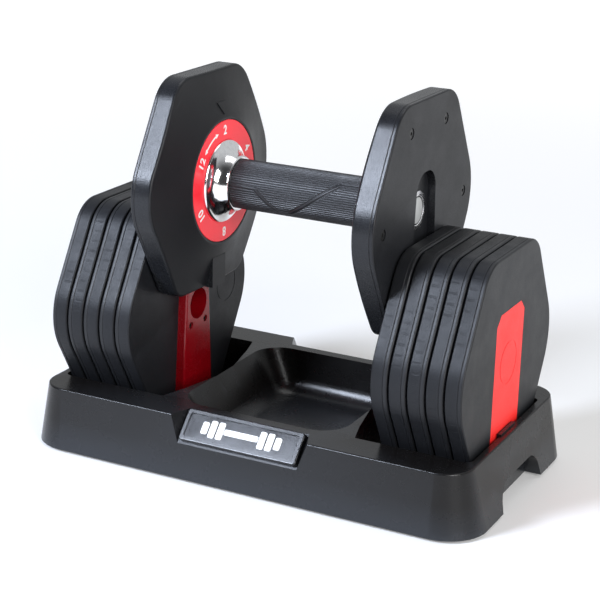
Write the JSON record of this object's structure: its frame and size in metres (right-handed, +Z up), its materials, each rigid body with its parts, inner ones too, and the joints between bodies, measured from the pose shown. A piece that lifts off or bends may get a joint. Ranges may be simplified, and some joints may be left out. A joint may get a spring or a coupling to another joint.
{
  "type": "adjustable dumbbell",
  "caption": "Adjustable dumbbell lifted above its tray: a turning grip drives two locking bolts out into stacks of hexagonal weight plates.",
  "frame": {"origin": "centre of the tray footprint on the floor surface, midway between the two stacks", "axes": "+X along the handle to the right-hand stack, +Y from the name plate to the back of the tray, +Z up"},
  "size_m": [0.345, 0.194, 0.2672],
  "materials": {
    "tray_plastic": "satin",
    "foot_rubber": "matte",
    "badge_frame": "satin",
    "badge_plate": "gloss",
    "badge_emblem": "satin",
    "plate_plastic": "satin",
    "disc_plastic": "satin",
    "steel_core": "rough",
    "guide_plastic": "gloss",
    "dark_screw": "satin",
    "panel_plastic": "satin",
    "grip_rubber": "matte",
    "chrome_trim": "polished",
    "dial_plastic": "satin",
    "nylon": "satin",
    "steel": "satin"
  },
  "bodies": {
    "tray": {"tray_shell": "tray_plastic", "tray_feet": "foot_rubber", "badge_frame": "badge_frame", "badge_plate": "badge_plate", "badge_emblem": "badge_emblem"},
    "plate_pair_5": {"plate_shell_left_5": "plate_plastic", "plate_shell_right_5": "plate_plastic", "plate_covers_5": "plate_plastic", "plate_cores_5": "steel_core", "plate_guides_5": "guide_plastic", "guide_screws_5": "dark_screw", "outer_panels": "panel_plastic"},
    "plate_pair_4": {"plate_shell_left_4": "plate_plastic", "plate_shell_right_4": "plate_plastic", "plate_covers_4": "plate_plastic", "plate_cores_4": "steel_core", "plate_guides_4": "guide_plastic", "guide_screws_4": "dark_screw"},
    "plate_pair_3": {"plate_shell_left_3": "plate_plastic", "plate_shell_right_3": "plate_plastic", "plate_covers_3": "plate_plastic", "plate_cores_3": "steel_core", "plate_guides_3": "guide_plastic", "guide_screws_3": "dark_screw"},
    "plate_pair_2": {"plate_shell_left_2": "plate_plastic", "plate_shell_right_2": "plate_plastic", "plate_covers_2": "plate_plastic", "plate_cores_2": "steel_core", "plate_guides_2": "guide_plastic", "guide_screws_2": "dark_screw"},
    "plate_pair_1": {"plate_shell_left_1": "plate_plastic", "plate_shell_right_1": "plate_plastic", "plate_covers_1": "plate_plastic", "plate_cores_1": "steel_core", "plate_guides_1": "guide_plastic", "guide_screws_1": "dark_screw"},
    "handle": {"spine_tube": "steel", "end_shell_left": "disc_plastic", "end_shell_right": "disc_plastic", "end_cover_left": "disc_plastic", "end_cover_right": "disc_plastic", "end_core_left": "steel_core", "end_core_right": "steel_core", "spine_nuts": "steel", "end_cover_screws": "dark_screw", "handle_bushes": "nylon", "pawl_spring": "steel"},
    "grip": {"cam_tube": "steel", "grip_sleeve": "grip_rubber", "collar_left": "chrome_trim", "collar_right": "chrome_trim", "dial_left": "dial_plastic", "dial_right": "dial_plastic", "index_ring": "nylon"},
    "bolt_right": {"locking_bolt_right": "steel", "follower_pin_right": "steel"},
    "bolt_left": {"locking_bolt_left": "steel", "follower_pin_left": "steel"},
    "pawl": {"lock_pawl": "nylon"}
  },
  "joints": [
    {"name": "plate_pair_5_lift", "type": "slide", "parent": "tray", "child": "plate_pair_5", "axis": [0, 0, 1], "range_m": [0, 0.1]},
    {"name": "plate_pair_4_lift", "type": "slide", "parent": "plate_pair_5", "child": "plate_pair_4", "axis": [0, 0, 1], "range_m": [0, 0.1]},
    {"name": "plate_pair_3_lift", "type": "slide", "parent": "plate_pair_4", "child": "plate_pair_3", "axis": [0, 0, 1], "range_m": [0, 0.1]},
    {"name": "plate_pair_2_lift", "type": "slide", "parent": "plate_pair_3", "child": "plate_pair_2", "axis": [0, 0, 1], "range_m": [0, 0.1]},
    {"name": "plate_pair_1_lift", "type": "slide", "parent": "plate_pair_2", "child": "plate_pair_1", "axis": [0, 0, 1], "range_m": [0, 0.1]},
    {"name": "handle_lift", "type": "slide", "parent": "plate_pair_1", "child": "handle", "axis": [0, 0, 1], "range_m": [-0.0948, 0.06]},
    {"name": "grip_turn", "type": "hinge", "parent": "handle", "child": "grip", "pos_m": [0, 0, 0.1892], "axis": [1, 0, 0], "range_deg": [0, 300]},
    {"name": "bolt_right_slide", "type": "slide", "parent": "handle", "child": "bolt_right", "axis": [1, 0, 0], "range_m": [0, 0.0651]},
    {"name": "bolt_left_slide", "type": "slide", "parent": "handle", "child": "bolt_left", "axis": [-1, 0, 0], "range_m": [0, 0.0651]},
    {"name": "pawl_slide", "type": "slide", "parent": "handle", "child": "pawl", "axis": [0, 0, -1], "range_m": [0, 0.004], "deforming": ["pawl_spring"]}
  ],
  "couplings": [
    {"joint": "bolt_right_slide", "follows": "grip_turn", "m_per_rad": 0.012414},
    {"joint": "bolt_left_slide", "follows": "grip_turn", "m_per_rad": 0.012414}
  ]
}
